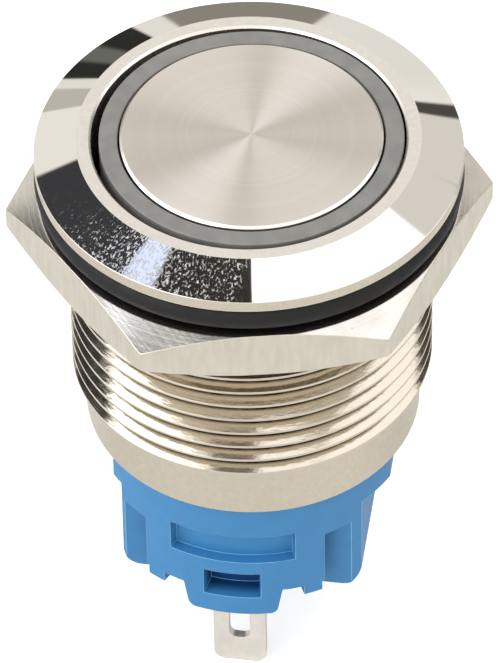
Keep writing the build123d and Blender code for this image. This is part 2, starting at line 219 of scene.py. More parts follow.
def surface(name, points, normals, finishes, body, row_finish=None, joins=None):
    """Closed grid of points, rows by columns by 3, that joins up with itself both ways.

    After the last column each row goes on as the row that joins names, or as itself.
    Points that fall together become one, and a face that loses a side becomes a triangle or goes.
    The signed volume says which way the faces point. The normals are those of the true shape.
    row_finish numbers the finish of the strip that follows each row.
    """
    rows, columns = points.shape[:2]
    spots = points.reshape(-1, 3)
    cells = np.round(spots / MERGE_STEP).astype(np.int64)
    _, first, merged = np.unique(cells, axis=0, return_index=True, return_inverse=True)
    here = merged.reshape(rows, columns)
    beside = np.roll(here, -1, axis=1)
    if joins is not None:
        beside[:, -1] = here[joins, 0]
    sides = [here, beside, np.roll(beside, -1, axis=0), np.roll(here, -1, axis=0)]
    quads = np.stack(sides, -1).reshape(-1, 4)
    finish = np.repeat(np.zeros(rows, int) if row_finish is None else row_finish, columns)
    gone = quads == np.roll(quads, -1, axis=1)
    whole = gone.sum(1) == 0
    once = gone.sum(1) == 1
    order = (np.argmax(gone[once], axis=1)[:, None] + np.arange(1, 4)) % 4
    thirds = np.take_along_axis(quads[once], order, axis=1)
    kept = spots[first]
    fans = np.concatenate([quads[whole][:, [0, 1, 2]], quads[whole][:, [0, 2, 3]], thirds])
    corner = kept[fans]
    volume = np.einsum("ij,ij->i", corner[:, 0], np.cross(corner[:, 1], corner[:, 2])).sum()
    step = 1 if volume > 0 else -1
    mesh = bpy.data.meshes.new(name)
    faces = quads[whole][:, ::step].tolist() + thirds[:, ::step].tolist()
    mesh.from_pydata(kept.tolist(), [], faces)
    finish = np.concatenate([finish[whole], finish[once]]).astype(np.int32)
    mesh.polygons.foreach_set("material_index", finish)
    mesh.polygons.foreach_set("use_smooth", np.ones(len(faces), bool))
    mesh.normals_split_custom_set_from_vertices(normals.reshape(-1, 3)[first].tolist())
    return shown(name, mesh, finishes, body)


def shown(name, mesh, finishes, body):
    """Puts a mesh into the scene with its materials, riding on a body."""
    piece = bpy.data.objects.new(name, mesh)
    bpy.context.scene.collection.objects.link(piece)
    for finish in finishes:
        mesh.materials.append(finish)
    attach(piece, body)
    return piece


def turned(name, corners, finishes, body, centre, corner_finish=None):
    """An eased outline carried once round an upright line: (x, y) = centre + r (cos a, sin a)."""
    outline, across = eased(corners)
    angle = evenly(CAP_COLUMNS)
    points = carried(outline[:, :1], outline[:, 1:], angle)
    points[..., :2] += centre
    normals = carried(across[:, :1], across[:, 1:], angle)
    rows = None if corner_finish is None else np.repeat(corner_finish, ARC_STEPS + 1)
    return surface(name, points * MM, normals, finishes, body, rows)


def thread_rows(angle):
    """Rows of the barrel's thread, from its lower end to its upper end.

    One pitch has a crest flat, a flank, a root flat and a flank, with eased corners. The whole
    profile climbs one pitch for each turn, so each row follows the helix until it meets an end,
    where its height stops and its radius is the profile's at that height.
    Gives radius, height and the two parts of the normal, by row and column, and one pitch's rows.
    """
    depth = (THREAD_PITCH - THREAD_CREST - THREAD_ROOT) / 2 / math.tan(THREAD_FLANK)
    root_r = THREAD_R - depth
    corners = np.array([(root_r, THREAD_ROOT / 2),
                        (THREAD_R, (THREAD_PITCH - THREAD_CREST) / 2),
                        (THREAD_R, (THREAD_PITCH + THREAD_CREST) / 2),
                        (root_r, THREAD_PITCH - THREAD_ROOT / 2)])
    cycle = np.concatenate([corners + (0, THREAD_PITCH * turn) for turn in range(-1, 2)])
    rounds = (ROOT_ROUND, CREST_ROUND, CREST_ROUND, ROOT_ROUND) * 3
    rounded, facing = eased_open(cycle, rounds, THREAD_ARC_STEPS)
    tiny = 1e-9
    inside = (rounded[:, 1] >= -tiny) & (rounded[:, 1] < THREAD_PITCH - tiny)
    profile, facing = rounded[inside], facing[inside]
    # the helix reaches up to two turns below the barrel's end and one above its top
    turns = int(math.ceil(-THREAD_END / THREAD_PITCH)) + 3
    lowest = GROOVE_Z - 2 * THREAD_PITCH
    base = (lowest + np.arange(turns)[:, None] * THREAD_PITCH + profile[None, :, 1]).reshape(-1)
    climb = THREAD_PITCH * (angle - math.radians(GROOVE_ANGLE)) / (2 * np.pi)
    height = base[:, None] + climb[None, :]
    held = np.clip(height, THREAD_END + THREAD_GAP, THREAD_TOP)
    phase = np.mod(held - GROOVE_Z - climb[None, :], THREAD_PITCH)
    free = held == height
    radius = np.where(free, np.tile(profile[:, 0], turns)[:, None],
                      np.interp(phase, profile[:, 1], profile[:, 0], period=THREAD_PITCH))
    slope_r = np.where(free, np.tile(facing[:, 0], turns)[:, None], 1.0)
    slope_z = np.where(free, np.tile(facing[:, 1], turns)[:, None], 0.0)
    # one held row stays before the first free one and one after the last
    used = free.any(axis=1)
    start = max(np.argmax(used) - 1, 0)
    end = len(used) - np.argmax(used[::-1]) + 1
    return np.stack([radius, held, slope_r, slope_z], 1)[start:end], len(profile)


def threaded_shell(name, finishes, body):
    """Bezel, barrel and land in one skin, whose rows close round its section.

    The eased outline goes from the neck under the bezel over the bezel, down the bore and up the
    land. The thread's rows climb on from there to the neck.
    """
    neck_r = THREAD_R - NECK_DEPTH
    lock_top, lock_low = LOCK_Z + LOCK_HALF, LOCK_Z - LOCK_HALF
    # radius, height, round, then the finish of the arc and of the side that follows it
    corners = [
        (neck_r, NECK_Z, 0.05, CUT, CUT),
        (neck_r, 0.0, 0.05, CUT, SATIN),
        (HEAD_R, 0.0, 0.10, SATIN, PLAIN),
        (HEAD_R, RIM_TOP, 0.04, BRIGHT, BRIGHT),
        (FLAT_R, BEZEL_TOP, 0.03, BRIGHT, SATIN),
        (TOP_BORE_R + BORE_MOUTH, BEZEL_TOP, 0.015, SATIN, SATIN),
        (TOP_BORE_R, BEZEL_TOP - BORE_MOUTH, 0.015, SATIN, SATIN),
        (TOP_BORE_R, BOARD_TOP, 0.03, SATIN, SATIN),
        (BORE_R, BOARD_TOP, 0.03, SATIN, SATIN),
        (BORE_R, lock_top, 0.03, SATIN, SATIN),
        (LOCK_R, lock_top, 0.03, SATIN, SATIN),
        (LOCK_R, lock_low, 0.03, SATIN, SATIN),
        (BORE_R, lock_low, 0.03, SATIN, SATIN),
        (BORE_R, SHELL_END, 0.1, SATIN, PLAIN),
        (LAND_R, SHELL_END, 0.08, PLAIN, PLAIN),
        (LAND_R, THREAD_END, 0.04, PLAIN, CUT),
        (LAND_R + THREAD_GAP, THREAD_END, 0.005, CUT, CUT)]
    outline, across = eased([corner[:3] for corner in corners])
    angle = evenly(SHELL_COLUMNS)
    smooth = np.concatenate([outline, across], axis=1)[..., None] * np.ones(SHELL_COLUMNS)
    thread, pitch_rows = thread_rows(angle)
    radius, height, slope_r, slope_z = np.concatenate([smooth, thread]).transpose(1, 0, 2)
    points = carried(radius, height, angle) * MM
    normals = carried(slope_r, slope_z, angle)
    row_finish = []
    for *_, arc, side in corners:
        row_finish += [arc] * ARC_STEPS + [side]
    row_finish += [CUT] * len(thread)
    # the helix has climbed one pitch when it comes round to the first column
    index = np.arange(len(points))
    one_up = np.minimum(index + pitch_rows, len(points) - 1)
    joins = np.where(index < len(outline), index, one_up)
    return surface(name, points, normals, finishes, body, row_finish, joins)


def hexagon_nut(name, finishes, body):
    """A nut as one skin whose outer radius changes with the angle.

    A flat lies at flat / cos(a) for the angle a from its middle. Near a corner a ray meets the
    corner's arc instead, of radius c round a point d = (flat - c) / cos(30) from the axis:
    r = d cos(b) + sqrt(c^2 - d^2 sin(b)^2), b being the angle from the corner.
    Both faces fall away by the chamfer outside the circle that fits the flats.
    """
    angle = evenly(NUT_COLUMNS)
    ones = np.ones(NUT_COLUMNS)
    sixth = math.pi / 3
    from_corner = np.mod(angle - math.radians(NUT_TURN) + sixth / 2, sixth) - sixth / 2
    from_flat = sixth / 2 - np.abs(from_corner)
    c = NUT_CORNER_ROUND
    d = (NUT_FLAT - c) / math.cos(sixth / 2)
    arc_end = math.atan2(c * math.sin(sixth / 2), d + c * math.cos(sixth / 2))
    on_arc = np.abs(from_corner) < arc_end
    bow = np.sqrt(np.maximum(c * c - (d * np.sin(from_corner)) ** 2, 0))
    outer = np.where(on_arc, d * np.cos(from_corner) + bow, NUT_FLAT / np.cos(from_flat))
    fall = math.tan(NUT_CHAMFER)
    drop = (outer - NUT_FLAT) * fall
    inner = NUT_FLAT - NUT_BRIM
    brim = np.minimum(inner + 2 * NUT_BRIM, outer - NUT_EASE)
    slant = math.sqrt(0.5)
    tilt = (math.sin(NUT_CHAMFER), math.cos(NUT_CHAMFER))
    # radius, depth under the face, and the normal's two parts, from the bore's mouth outwards
    half = [(NUT_BORE, NUT_MOUTH_DEPTH, -1, 0),
            (NUT_BORE, NUT_MOUTH_DEPTH, -slant, slant),
            (NUT_MOUTH, 0, -slant, slant),
            (NUT_MOUTH, 0, 0, 1),
            (np.minimum(inner, brim), 0, 0, 1),
            (brim, NUT_BRIM * fall, *tilt),
            (outer - NUT_EASE, np.maximum(drop - NUT_EASE * fall, 0), *tilt),
            (outer, drop + NUT_EASE, 1, 0)]
    table = np.array([[part * ones for part in row] for row in half]).transpose(1, 0, 2)
    radius, depth, across_r, across_z = table
    radius = np.concatenate([radius, radius[::-1]])
    height = np.concatenate([NUT_BOTTOM + depth, NUT_TOP - depth[::-1]])
    across_r = np.concatenate([across_r, across_r[::-1]])
    across_z = np.concatenate([-across_z, across_z[::-1]])
    # a side's true normal is its flat's, and swings round the arc at a corner
    on_flat = angle + np.where(from_corner > 0, from_flat, -from_flat)
    swing = np.arcsin(np.clip(outer * np.sin(from_corner) / c, -1, 1))
    side_rows = [7, 8]
    heading = np.tile(angle, (len(radius), 1))
    heading[side_rows] = np.where(on_arc, angle - from_corner + swing, on_flat)
    normals = carried(across_r, across_z, heading)
    face_strips = [3, 4, 5, 9, 10, 11]
    row_finish = np.zeros(len(radius), int)
    row_finish[face_strips] = 1
    return surface(name, carried(radius, height, angle) * MM, normals, finishes, body, row_finish)


def softened(name, node, finish, width, segments=3, edge=None):
    """A merged copy of a solid whose sharp edges are rounded, as a moulded or stamped piece's are.

    The rounded edges may have a finish of their own, such as a paler colour that paints a highlight on
    them.
    """
    source = frame["nodes"][node]
    mesh = source.data.copy()
    mesh.materials.clear()
    work = bmesh.new()
    work.from_mesh(mesh)
    bmesh.ops.remove_doubles(work, verts=work.verts, dist=MERGE_SOLID)
    bmesh.ops.dissolve_limit(work, angle_limit=FLAT_ANGLE, verts=work.verts, edges=work.edges)
    bmesh.ops.recalc_face_normals(work, faces=work.faces)
    work.to_mesh(mesh)
    work.free()
    if mesh.has_custom_normals:
        mesh.attributes.remove(mesh.attributes["custom_normal"])
    piece = shown(name, mesh, [finish] if edge is None else [finish, edge], source["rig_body"])
    rounding = piece.modifiers.new("rounding", "BEVEL")
    rounding.width = width * MM
    rounding.segments = segments
    rounding.limit_method = "ANGLE"
    rounding.angle_limit = SHARP_ANGLE
    rounding.miter_outer = "MITER_ARC"
    rounding.material = -1 if edge is None else 1
    mesh.polygons.foreach_set("use_smooth", np.ones(len(mesh.polygons), bool))
    weighting = piece.modifiers.new("weighting", "WEIGHTED_NORMAL")
    weighting.keep_sharp = True
    weighting.weight = 100
    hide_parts(node)
    return piece


# Parts that the materials are made of


def linear(code, gain=1.0):
    """An sRGB hex colour as linear red, green, blue and alpha."""
    parts = np.array([int(code[i:i + 2], 16) for i in (1, 3, 5)]) / 255
    flat = np.where(parts <= 0.04045, parts / 12.92, ((parts + 0.055) / 1.055) ** 2.4)
    return (*(float(v) * gain for v in flat), 1.0)


def wire(tree, kind, inputs=None, **settings):
    """Adds one node: its settings, and for each input a value or the socket that feeds it."""
    made = tree.nodes.new(kind)
    for key, value in settings.items():
        setattr(made, key, value)
    for key, value in (inputs or {}).items():
        if isinstance(value, bpy.types.NodeSocket):
            tree.links.new(value, made.inputs[key])
        else:
            made.inputs[key].default_value = value
    return made


def maths(tree, operation, *values):
    """Result of a sum on numbers or sockets."""
    made = wire(tree, "ShaderNodeMath", dict(enumerate(values)), operation=operation)
    return made.outputs[0]


def vectors(tree, operation, *values):
    """Result of a sum on triples or sockets."""
    made = wire(tree, "ShaderNodeVectorMath", dict(enumerate(values)), operation=operation)
    return made.outputs[0]


def combined(tree, **parts):
    """A vector from its X, Y and Z; what isn't given is 0."""
    return wire(tree, "ShaderNodeCombineXYZ", parts).outputs[0]


def material(name, **constants):
    """A new material with one Principled shader; the constants go on its own sockets."""
    made = bpy.data.materials.new(name)
    made.use_nodes = True
    tree = made.node_tree
    tree.nodes.clear()
    values = {key.replace("_", " "): value for key, value in constants.items()}
    shader = wire(tree, "ShaderNodeBsdfPrincipled", values)
    wire(tree, "ShaderNodeOutputMaterial", {"Surface": shader.outputs["BSDF"]})
    made.diffuse_color = constants["Base_Color"]
    return made, tree, shader


def place(tree, scale=(1, 1, 1), shift=(0, 0, 0)):
    """Object coordinates in millimetres, shifted and then stretched."""
    spot = wire(tree, "ShaderNodeTexCoord").outputs["Object"]
    moved = vectors(tree, "SUBTRACT", spot, tuple(s * MM for s in shift))
    return vectors(tree, "MULTIPLY", moved, tuple(s / MM for s in scale))


def grain(tree, spot, scale, detail=2.0, roughness=0.5):
    """Noise between 0 and 1; scale is features per millimetre."""
    made = wire(tree, "ShaderNodeTexNoise", {"Vector": spot, "Scale": scale, "Detail": detail,
                                             "Roughness": roughness})
    return made.outputs["Fac"]


def between(tree, value, low, high, to_low=0.0, to_high=1.0):
    """Carries a value from one range to another, held at both ends."""
    made = wire(tree, "ShaderNodeMapRange", {"Value": value, "From Min": low, "From Max": high,
                                             "To Min": to_low, "To Max": to_high}, clamp=True)
    return made.outputs["Result"]


def blend(tree, share, first, second):
    """Mix of two colours by a share."""
    made = wire(tree, "ShaderNodeMix", {"Factor": share}, data_type="RGBA")
    for socket, value in ((made.inputs[6], first), (made.inputs[7], second)):
        if isinstance(value, bpy.types.NodeSocket):
            tree.links.new(value, socket)
        else:
            socket.default_value = value
    return made.outputs[2]


def tinted(tree, shader, pattern, first, second):
    """Base colour that follows the middle of a noise pattern from one colour to the other."""
    share = between(tree, pattern, 0.35, 0.65)
    tree.links.new(blend(tree, share, first, second), shader.inputs["Base Color"])


def roughened(tree, shader, pattern, low, high):
    """Roughness that follows the middle of a noise pattern from low to high."""
    tree.links.new(between(tree, pattern, 0.3, 0.7, low, high), shader.inputs["Roughness"])


def bump(tree, shader, height, depth):
    """Raises the surface by a height pattern; depth is in millimetres."""
    made = wire(tree, "ShaderNodeBump", {"Height": height, "Distance": depth * MM, "Strength": 1.0})
    tree.links.new(made.outputs["Normal"], shader.inputs["Normal"])


def radius_of(tree, spot):
    """Distance from the upright line, and the three parts of the spot."""
    parts = wire(tree, "ShaderNodeSeparateXYZ", {0: spot}).outputs
    flat = combined(tree, X=parts["X"], Y=parts["Y"])
    length = wire(tree, "ShaderNodeVectorMath", {0: flat}, operation="LENGTH").outputs["Value"]
    return length, parts


def turning_marks(tree, spot, spacing, seed):
    """Fine rings that a turning tool leaves: noise that only changes with the radius."""
    length, _ = radius_of(tree, spot)
    line = combined(tree, X=length, Y=seed)
    return grain(tree, line, 1.0 / spacing, detail=3.0, roughness=0.6)


# Materials


def satin_nickel(name, colour, rough, marks, depth):
    """Nickel plate on turned brass, satin: soft broad reflections over faint turning rings."""
    made, tree, shader = material(name, Base_Color=linear(colour), Metallic=1.0, Roughness=rough)
    spot = place(tree)
    roughened(tree, shader, grain(tree, spot, 0.6, detail=3.0), rough - 0.04, rough + 0.04)
    tinted(tree, shader, grain(tree, spot, 3.0, detail=4.0), linear(colour), linear(colour, 0.94))
    bump(tree, shader, turning_marks(tree, spot, marks, 3.0), depth)
    return made


def polished_nickel():
    """Polished nickel: mirror bright, with fine polishing pits that show where it mirrors the dark.

    The pattern lies round the axis, so the pits keep their shape all round. They are on the side
    that rubbed, at the front's left half, and each scatters light as it deepens.
    """
    mirror, pitted = 0.03, 0.55
    front_from, front_to = -3.2, -8.0
    left_from, left_to = 1.3, 0.8
    stretch = 0.8
    made, tree, shader = material("polished_nickel", Base_Color=linear("#E9E5DE"), Metallic=1.0,
                                  Roughness=mirror)
    length, parts = radius_of(tree, place(tree))
    ring = combined(tree, X=maths(tree, "DIVIDE", parts["X"], length),
                    Y=maths(tree, "DIVIDE", parts["Y"], length))
    ring = wire(tree, "ShaderNodeVectorMath", {0: ring, "Scale": HEAD_R}, operation="SCALE").outputs[0]
    rise = combined(tree, Z=maths(tree, "MULTIPLY", length, stretch))
    laid = vectors(tree, "ADD", ring, rise)
    fine = between(tree, grain(tree, laid, 7.0, roughness=0.6), 0.50, 0.80)
    front = between(tree, parts["Y"], front_from, front_to)
    left = between(tree, parts["X"], left_from, left_to)
    pits = maths(tree, "MULTIPLY", fine, maths(tree, "MULTIPLY", front, left))
    tree.links.new(between(tree, pits, 0.0, 1.0, mirror, pitted), shader.inputs["Roughness"])
    bump(tree, shader, pits, 0.0012)
    return made


def thread_nickel():
    """Nickel on a cut thread: brighter than the satin faces, with a tool's faint chatter.

    The roots carry painted shade: a dark colour towards the root radius, a little uneven along the
    thread.
    """
    # painted shade: the roots' dark colour stands in for the shade deep in the grooves
    crest, root_shade_colour = linear("#D2C8B6"), linear("#2E2820")
    root_shade_deep, root_shade_high = THREAD_R - 0.47, THREAD_R - 0.36
    made, tree, shader = material("thread_nickel", Base_Color=crest, Metallic=1.0, Roughness=0.1)
    spot = place(tree)
    length, _ = radius_of(tree, spot)
    # painted shade, darkest at the root radius and fading out towards the flanks
    root = between(tree, length, root_shade_deep, root_shade_high, 1.0, 0.0)
    uneven = between(tree, grain(tree, spot, 1.6, detail=4.0), 0.3, 0.6, 0.8, 1.0)
    root_shade = maths(tree, "MULTIPLY", root, uneven)
    tree.links.new(blend(tree, root_shade, crest, root_shade_colour), shader.inputs["Base Color"])
    roughened(tree, shader, grain(tree, spot, 1.2, detail=4.0), 0.07, 0.16)
    bump(tree, shader, grain(tree, place(tree, (1.0, 1.0, 6.0)), 2.4, detail=3.0), 0.006)
    return made


def nut_faces():
    """Nickel on the nut's cut faces: crossed tool marks and a few dark specks."""
    made, tree, shader = material("nut_face_nickel", Base_Color=linear("#DED9D0"), Metallic=1.0,
                                  Roughness=0.32)
    spot = place(tree)
    rings = turning_marks(tree, spot, 0.12, 7.0)
    crossing = turning_marks(tree, place(tree, shift=(30.0, 22.0, 0.0)), 0.16, 1.0)
    specks = wire(tree, "ShaderNodeTexVoronoi", {"Vector": spot, "Scale": 2.2, "Randomness": 1.0},
                  feature="F1")
    speck = between(tree, specks.outputs["Distance"], 0.05, 0.11, 1.0, 0.0)
    worn = between(tree, grain(tree, spot, 0.5, detail=3.0), 0.42, 0.62)
    base = blend(tree, worn, linear("#DED9D0"), linear("#D3CDC3"))
    shade = blend(tree, maths(tree, "MULTIPLY", speck, worn), base, linear("#6A6357"))
    tree.links.new(shade, shader.inputs["Base Color"])
    roughened(tree, shader, rings, 0.16, 0.3)
    bump(tree, shader, maths(tree, "ADD", rings, crossing), 0.006)
    return made


def nut_flats():
    """Nickel over milled flats: even and satin, with faint upright mottling."""
    made, tree, shader = material("nut_flat_nickel", Base_Color=linear("#D9D3C4"), Metallic=1.0,
                                  Roughness=0.34)
    streaks = grain(tree, place(tree, (1.6, 1.6, 0.35)), 1.6, detail=4.0)
    tinted(tree, shader, streaks, linear("#D9D3C4"), linear("#D1CABB"))
    roughened(tree, shader, streaks, 0.30, 0.38)
    bump(tree, shader, streaks, 0.004)
    return made


def spun_stainless(centre):
    """Stainless steel spun against an abrasive: fine rings that spread each light into a fan."""
    made, tree, shader = material("spun_stainless", Base_Color=linear("#DFD7CD"), Metallic=1.0,
                                  Roughness=0.42, Anisotropic=0.95)
    spot = place(tree, shift=(*centre, 0.0))
    outwards = vectors(tree, "MULTIPLY", spot, (1.0, 1.0, 0.0))
    tree.links.new(vectors(tree, "NORMALIZE", outwards), shader.inputs["Tangent"])
    rings = turning_marks(tree, spot, 0.07, 5.0)
    wide = turning_marks(tree, spot, 0.45, 2.0)
    both = maths(tree, "ADD", between(tree, rings, 0.3, 0.7), between(tree, wide, 0.3, 0.7))
    shade = blend(tree, between(tree, both, 0.2, 1.8), linear("#DBD3C8"), linear("#E3DCD3"))
    tree.links.new(shade, shader.inputs["Base Color"])
    bump(tree, shader, rings, 0.0012)
    return made


def turned_stainless():
    """The disc's chamfer: stainless cut bright with a fine tool."""
    made, tree, shader = material("turned_stainless", Base_Color=linear("#ECE9E3"), Metallic=1.0,
                                  Roughness=0.1)
    roughened(tree, shader, grain(tree, place(tree), 2.0), 0.17, 0.25)
    return made


def moulded(name, colour, rough, deep, size, shaded=None):
    """Moulded plastic: fine spark-eroded texture and a slightly uneven shade.

    shaded takes the tree and the colour's socket and gives the socket of the colour to use.
    """
    made, tree, shader = material(name, Base_Color=linear(colour), Roughness=rough, IOR=1.5)
    spot = place(tree)
    cloud = grain(tree, spot, 0.8, detail=4.0)
    shade = blend(tree, between(tree, cloud, 0.35, 0.65), linear(colour), linear(colour, 0.94))
    if shaded is not None:
        shade = shaded(tree, shade)
    tree.links.new(shade, shader.inputs["Base Color"])
    fine = grain(tree, spot, 1.0 / size)
    roughened(tree, shader, fine, rough - 0.05, rough + 0.05)
    bump(tree, shader, fine, deep)
    return made


def pocket_shade(tree, plain):
    """Darkens the deep pocket of the housing's small windows, as little light gets into it."""
    dark_depth, light_depth = 0.9, 0.3
    length, parts = radius_of(tree, place(tree))
    beside = maths(tree, "ABSOLUTE", parts["X"])
    share = between(tree, length, POCKET_R - dark_depth, POCKET_R - light_depth, 1.0, 0.0)
    for inside in (between(tree, beside, POCKET_HALF, POCKET_HALF + POCKET_FADE, 1.0, 0.0),
                   between(tree, parts["Z"], POCKET_LOW - POCKET_FADE, POCKET_LOW),
                   between(tree, parts["Z"], POCKET_HIGH, POCKET_HIGH + POCKET_FADE, 1.0, 0.0)):
        share = maths(tree, "MULTIPLY", share, inside)
    return blend(tree, share, plain, linear("#0A4580", 0.75))


def light_ring_plastic():
    """Milky polycarbonate, moulded and unlit: grey because little light comes back from inside."""
    made, tree, shader = material("milky_ring_plastic", Base_Color=linear("#82807B"), Roughness=0.42,
                                  IOR=1.58)
    spot = place(tree)
    tinted(tree, shader, grain(tree, spot, 1.1, detail=3.0), linear("#84827C"), linear("#7A7873"))
    roughened(tree, shader, grain(tree, spot, 6.0), 0.36, 0.48)
    bump(tree, shader, turning_marks(tree, spot, 0.1, 4.0), 0.002)
    return made


def nitrile_rubber():
    """Black nitrile: satin, with a grey bloom and the mould's fine texture."""
    made, tree, shader = material("nitrile_rubber", Base_Color=linear("#0E0D0C"), Roughness=0.5,
                                  IOR=1.42)
    spot = place(tree)
    bloom = between(tree, grain(tree, spot, 1.4, detail=4.0), 0.4, 0.65)
    shade = blend(tree, bloom, linear("#0C0B0A"), linear("#141312"))
    tree.links.new(shade, shader.inputs["Base Color"])
    tree.links.new(between(tree, bloom, 0.0, 1.0, 0.56, 0.70), shader.inputs["Roughness"])
    bump(tree, shader, grain(tree, spot, 9.0), 0.004)
    return made


def plain_metal(name, colour, rough):
    """Drawn or stamped metal with fine lengthwise marks."""
    spacing, along = 0.08, 0.15
    made, tree, shader = material(name, Base_Color=linear(colour), Metallic=1.0, Roughness=rough)
    streaks = grain(tree, place(tree, (1.0, 1.0, along)), 1.0 / spacing)
    cloud = grain(tree, place(tree), 1.2, detail=4.0)
    roughened(tree, shader, streaks, rough - 0.05, rough + 0.05)
    tinted(tree, shader, cloud, linear(colour), linear(colour, 0.92))
    bump(tree, shader, streaks, 0.002)
    return made


cap_centre = (CAP_SHIFT * math.cos(math.radians(CAP_SHIFT_ANGLE)),
              CAP_SHIFT * math.sin(math.radians(CAP_SHIFT_ANGLE)))

# the bezel and bore, turned and plated satin, and the land, turned plainer and a little tarnished
satin = satin_nickel("satin_nickel", "#EAE4DC", 0.27, 0.09, 0.0015)
land_satin = satin_nickel("land_nickel", "#D1C8B6", 0.27, 0.3, 0.001)
thread_finish = thread_nickel()
polished = polished_nickel()
disc_finish = spun_stainless(cap_centre)
disc_edge_finish = turned_stainless()
ring_finish = light_ring_plastic()
rubber = nitrile_rubber()
# blue nylon from a spark-eroded mould; its rounded edges are smoother, and paler as a painted
# highlight
blue = moulded("blue_nylon", "#337BAE", 0.46, 0.010, 0.09, pocket_shade)
# the edge finish's paler blue is a painted highlight along the rounded edges
blue_edge_highlight = moulded("blue_nylon_edge_highlight", "#6CA6CF", 0.34, 0.004, 0.09)
# black nylon of the stem, guide and pads, as it leaves a plain mould
black_plastic = moulded("black_nylon", "#1C1C1C", 0.5, 0.006, 0.1)
# spring steel, drawn bright and coiled or bent without further finish
steel = plain_metal("spring_steel_wire", "#B5B0A8", 0.3)
# silver rivets of the contacts, headed cold and tumbled
silver = plain_metal("silvered_contact", "#DAD6CE", 0.28)
# stamped brass lugs under matte silver plate
lug_plate = plain_metal("silvered_brass_lug", "#EEE8DC", 0.46)
# copper alloy of the blade, rolled strip as stamped
copper = plain_metal("copper_alloy_strip", "#C88A5E", 0.34)
# circuit board: glass laminate under green lacquer, printed on and cured
laminate = moulded("green_laminate", "#0F5A30", 0.4, 0.002, 0.2)
# the lamps' clear resin over a pale yellow chip, cast in a smooth mould
lamp_resin = moulded("lamp_resin", "#E6DDA8", 0.3, 0.001, 0.3)
# the resistor's ceramic under its black glaze, printed and fired
ceramic = moulded("chip_coating", "#17171A", 0.4, 0.001, 0.2)

finish_of_slot = {
    "shell_plate": satin, "nut_plate": satin, "brushed_disc": disc_finish, "ring_plastic": ring_finish,
    "seal_rubber": rubber, "inner_plastic": black_plastic, "spring_steel": steel,
    "board_laminate": laminate, "lamp_plastic": lamp_resin, "chip_ceramic": ceramic,
    "terminal_plate_metal": lug_plate, "contact_silver": silver, "blade_copper": copper,
    "housing_plastic": blue}
for part in frame["record"]["subparts"]:
    solid = frame["nodes"][part["node"]]
    solid.data.materials.clear()
    solid.data.materials.append(finish_of_slot[part["material_slot"]])


# Pieces

shell = threaded_shell("shell_skin", [satin, thread_finish, polished, land_satin], "housing")
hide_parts("body_shell")

# the O-ring is a circle of wire carried round: r = ring + wire cos(b), z = middle + wire sin(b)
round_wire = evenly(O_RING_ROWS)[:, None]
round_ring = evenly(O_RING_COLUMNS)
tube = carried(O_RING_R + O_RING_WIRE * np.cos(round_wire),
               O_RING_Z + O_RING_WIRE * np.sin(round_wire), round_ring)
tube_normals = carried(np.cos(round_wire), np.sin(round_wire), round_ring)
o_ring = surface("o_ring_skin", tube * MM, tube_normals, [rubber], "housing")
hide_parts("panel_o_ring")

nut = hexagon_nut("nut_skin", [nut_flats(), nut_faces()], "nut")
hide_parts("hex_nut")

disc = turned("disc_skin", [
    (0.0, DISC_TOP, 0.0), (0.0, STUD_END, 0.0), (STUD_R, STUD_END, 0.05),
    (STUD_R, DISC_LOW, 0.05), (DISC_R, DISC_LOW, 0.05), (DISC_R, DISC_TOP - DISC_EDGE, 0.02),
    (DISC_R - DISC_EDGE, DISC_TOP, 0.02)],
    [disc_finish, disc_edge_finish], "button", cap_centre, corner_finish=[0, 0, 0, 0, 1, 1, 0])
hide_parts("button_disc")

ring = turned("light_ring_skin", [
    (STUD_R, RING_FLOOR, 0.03), (RING_INNER_R, RING_FLOOR, 0.1), (RING_INNER_R, RING_BOTTOM, 0.1),
    (RING_R, RING_BOTTOM, 0.1), (RING_R, SEAL_Z - SEAL_HALF, 0.04), (SEAL_R, SEAL_Z - SEAL_HALF, 0.04),
    (SEAL_R, SEAL_Z + SEAL_HALF, 0.04), (RING_R, SEAL_Z + SEAL_HALF, 0.04),
    (RING_R, RING_TOP, RING_EDGE), (RING_POCKET_R, RING_TOP, RING_EDGE),
    (RING_POCKET_R, DISC_LOW, 0.05), (STUD_R, DISC_LOW, 0.03)], [ring_finish], "button", cap_centre)
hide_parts("light_ring")

housing = softened("housing_skin", "base_moulding", blue, 0.09, edge=blue_edge_highlight)
for lug in ("terminal_lamp_positive", "terminal_lamp_negative", "terminal_common",
            "terminal_normally_open", "terminal_normally_closed"):
    strip = softened(lug + "_skin", lug, lug_plate, 0.05, 2)
closing_plate = softened("terminal_plate_skin", "terminal_plate", blue, 0.1)


# Floor, light and camera


def floor():
    """A pale round sheet under the lugs."""
    edge = carried(FLOOR_R, FLOOR_Z - FLOOR_GAP, evenly(FLOOR_SIDES)) * MM
    mesh = bpy.data.meshes.new("floor")
    mesh.from_pydata(edge.tolist(), [], [list(range(FLOOR_SIDES))])
    sheet = bpy.data.objects.new("floor", mesh)
    bpy.context.scene.collection.objects.link(sheet)
    made, tree, shader = material("white_sheet", Base_Color=linear("#E6E5E3"), Roughness=0.8,
                                  Emission_Color=linear("#FFFFFF"))
    seen = wire(tree, "ShaderNodeLightPath").outputs["Is Camera Ray"]
    tree.links.new(maths(tree, "MULTIPLY", seen, FLOOR_GLOW), shader.inputs["Emission Strength"])
    mesh.materials.append(made)


